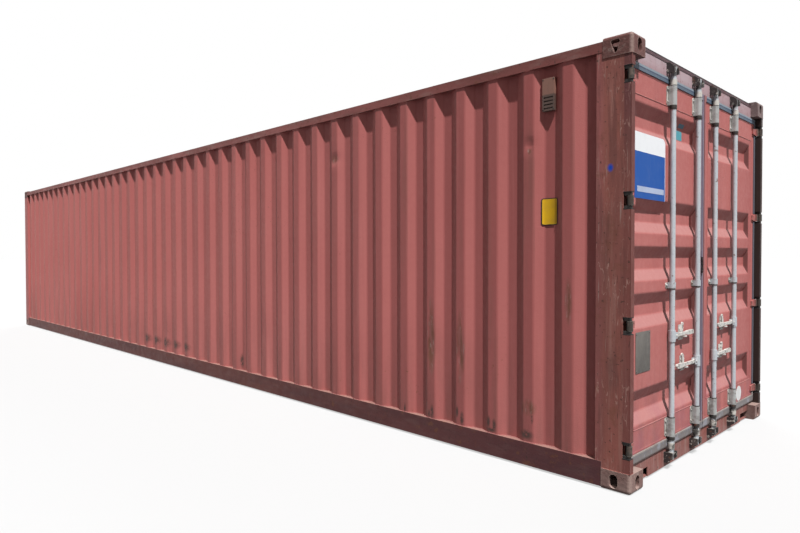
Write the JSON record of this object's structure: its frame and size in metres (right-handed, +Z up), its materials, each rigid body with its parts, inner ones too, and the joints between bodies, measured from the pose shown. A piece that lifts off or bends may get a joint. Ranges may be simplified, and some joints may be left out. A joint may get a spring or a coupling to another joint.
{
  "type": "shipping container",
  "caption": "Steel freight container with corrugated walls, corner castings, plywood floor and a pair of hinged end doors locked by turning rods with cams and handles.",
  "frame": {"origin": "on the ground under the middle of the container", "axes": "+X to the door end, +Y to the right side as seen when facing the doors, +Z up"},
  "size_m": [12.192, 2.438, 2.591],
  "materials": {
    "wall_paint": "faded red-brown paint, chalky",
    "post_paint": "weathered brown paint with rust and scuffs",
    "rail_paint": "dark worn paint",
    "casting_paint": "chipped paint on cast steel",
    "header_paint": "pale faded paint",
    "gear_paint": "worn zinc under paint",
    "hinge_steel": "dark greasy steel",
    "gasket_rubber": "dull black rubber",
    "plywood": "worn marine plywood",
    "vent_plastic": "dusty plastic"
  },
  "bodies": {
    "container": {"corner_castings_bottom": "casting_paint", "corner_castings_top": "casting_paint", "front_corner_posts": "post_paint", "rear_corner_posts": "post_paint", "top_side_rails": "wall_paint", "bottom_side_rails": "rail_paint", "front_header": "wall_paint", "front_sill": "rail_paint", "door_header": "header_paint", "door_sill": "rail_paint", "left_side_wall": "wall_paint", "right_side_wall": "wall_paint", "front_wall": "wall_paint", "roof_panel": "wall_paint", "floor_cross_members": "rail_paint", "left_tunnel_outriggers": "rail_paint", "right_tunnel_outriggers": "rail_paint", "gooseneck_tunnel": "rail_paint", "tunnel_bows": "rail_paint", "floor_boards": "plywood", "floor_centre_rail": "rail_paint", "ventilators": "vent_plastic", "hinge_lugs": "hinge_steel", "top_cam_keepers": "gear_paint", "bottom_cam_keepers": "gear_paint"},
    "left_door": {"left_door_frame": "wall_paint", "left_door_panel": "wall_paint", "left_door_gasket": "gasket_rubber", "left_hinge_blades": "wall_paint", "left_rod_brackets": "gear_paint", "left_handle_catches": "gear_paint"},
    "left_inner_lock_rod": {"left_inner_lock_rod": "gear_paint"},
    "left_inner_handle": {"left_inner_handle": "gear_paint"},
    "left_outer_lock_rod": {"left_outer_lock_rod": "gear_paint"},
    "left_outer_handle": {"left_outer_handle": "gear_paint"},
    "right_door": {"right_door_frame": "wall_paint", "right_door_panel": "wall_paint", "right_door_gasket": "gasket_rubber", "right_hinge_blades": "wall_paint", "right_rod_brackets": "gear_paint", "right_handle_catches": "gear_paint"},
    "right_inner_lock_rod": {"right_inner_lock_rod": "gear_paint"},
    "right_inner_handle": {"right_inner_handle": "gear_paint"},
    "right_outer_lock_rod": {"right_outer_lock_rod": "gear_paint"},
    "right_outer_handle": {"right_outer_handle": "gear_paint"}
  },
  "joints": [
    {"name": "left_door_hinge", "type": "hinge", "parent": "container", "child": "left_door", "pos_m": [6.078, -1.197, 1.3], "axis": [0, 0, -1], "range_deg": [0, 265]},
    {"name": "right_door_hinge", "type": "hinge", "parent": "container", "child": "right_door", "pos_m": [6.078, 1.197, 1.3], "axis": [0, 0, 1], "range_deg": [0, 265]},
    {"name": "left_inner_rod_turn", "type": "hinge", "parent": "left_door", "child": "left_inner_lock_rod", "pos_m": [6.071, -0.165, 1.3], "axis": [0, 0, -1], "range_deg": [-100, 0]},
    {"name": "left_inner_handle_lift", "type": "hinge", "parent": "left_inner_lock_rod", "child": "left_inner_handle", "pos_m": [6.071, -0.207, 0.635], "axis": [1, 0, 0], "range_deg": [-30, 0]},
    {"name": "left_outer_rod_turn", "type": "hinge", "parent": "left_door", "child": "left_outer_lock_rod", "pos_m": [6.071, -0.59, 1.3], "axis": [0, 0, 1], "range_deg": [-100, 0]},
    {"name": "left_outer_handle_lift", "type": "hinge", "parent": "left_outer_lock_rod", "child": "left_outer_handle", "pos_m": [6.071, -0.548, 0.84], "axis": [-1, 0, 0], "range_deg": [-30, 0]},
    {"name": "right_inner_rod_turn", "type": "hinge", "parent": "right_door", "child": "right_inner_lock_rod", "pos_m": [6.071, 0.165, 1.3], "axis": [0, 0, 1], "range_deg": [-100, 0]},
    {"name": "right_inner_handle_lift", "type": "hinge", "parent": "right_inner_lock_rod", "child": "right_inner_handle", "pos_m": [6.071, 0.207, 0.635], "axis": [-1, 0, 0], "range_deg": [-30, 0]},
    {"name": "right_outer_rod_turn", "type": "hinge", "parent": "right_door", "child": "right_outer_lock_rod", "pos_m": [6.071, 0.59, 1.3], "axis": [0, 0, -1], "range_deg": [-100, 0]},
    {"name": "right_outer_handle_lift", "type": "hinge", "parent": "right_outer_lock_rod", "child": "right_outer_handle", "pos_m": [6.071, 0.548, 0.84], "axis": [1, 0, 0], "range_deg": [-30, 0]}
  ]
}
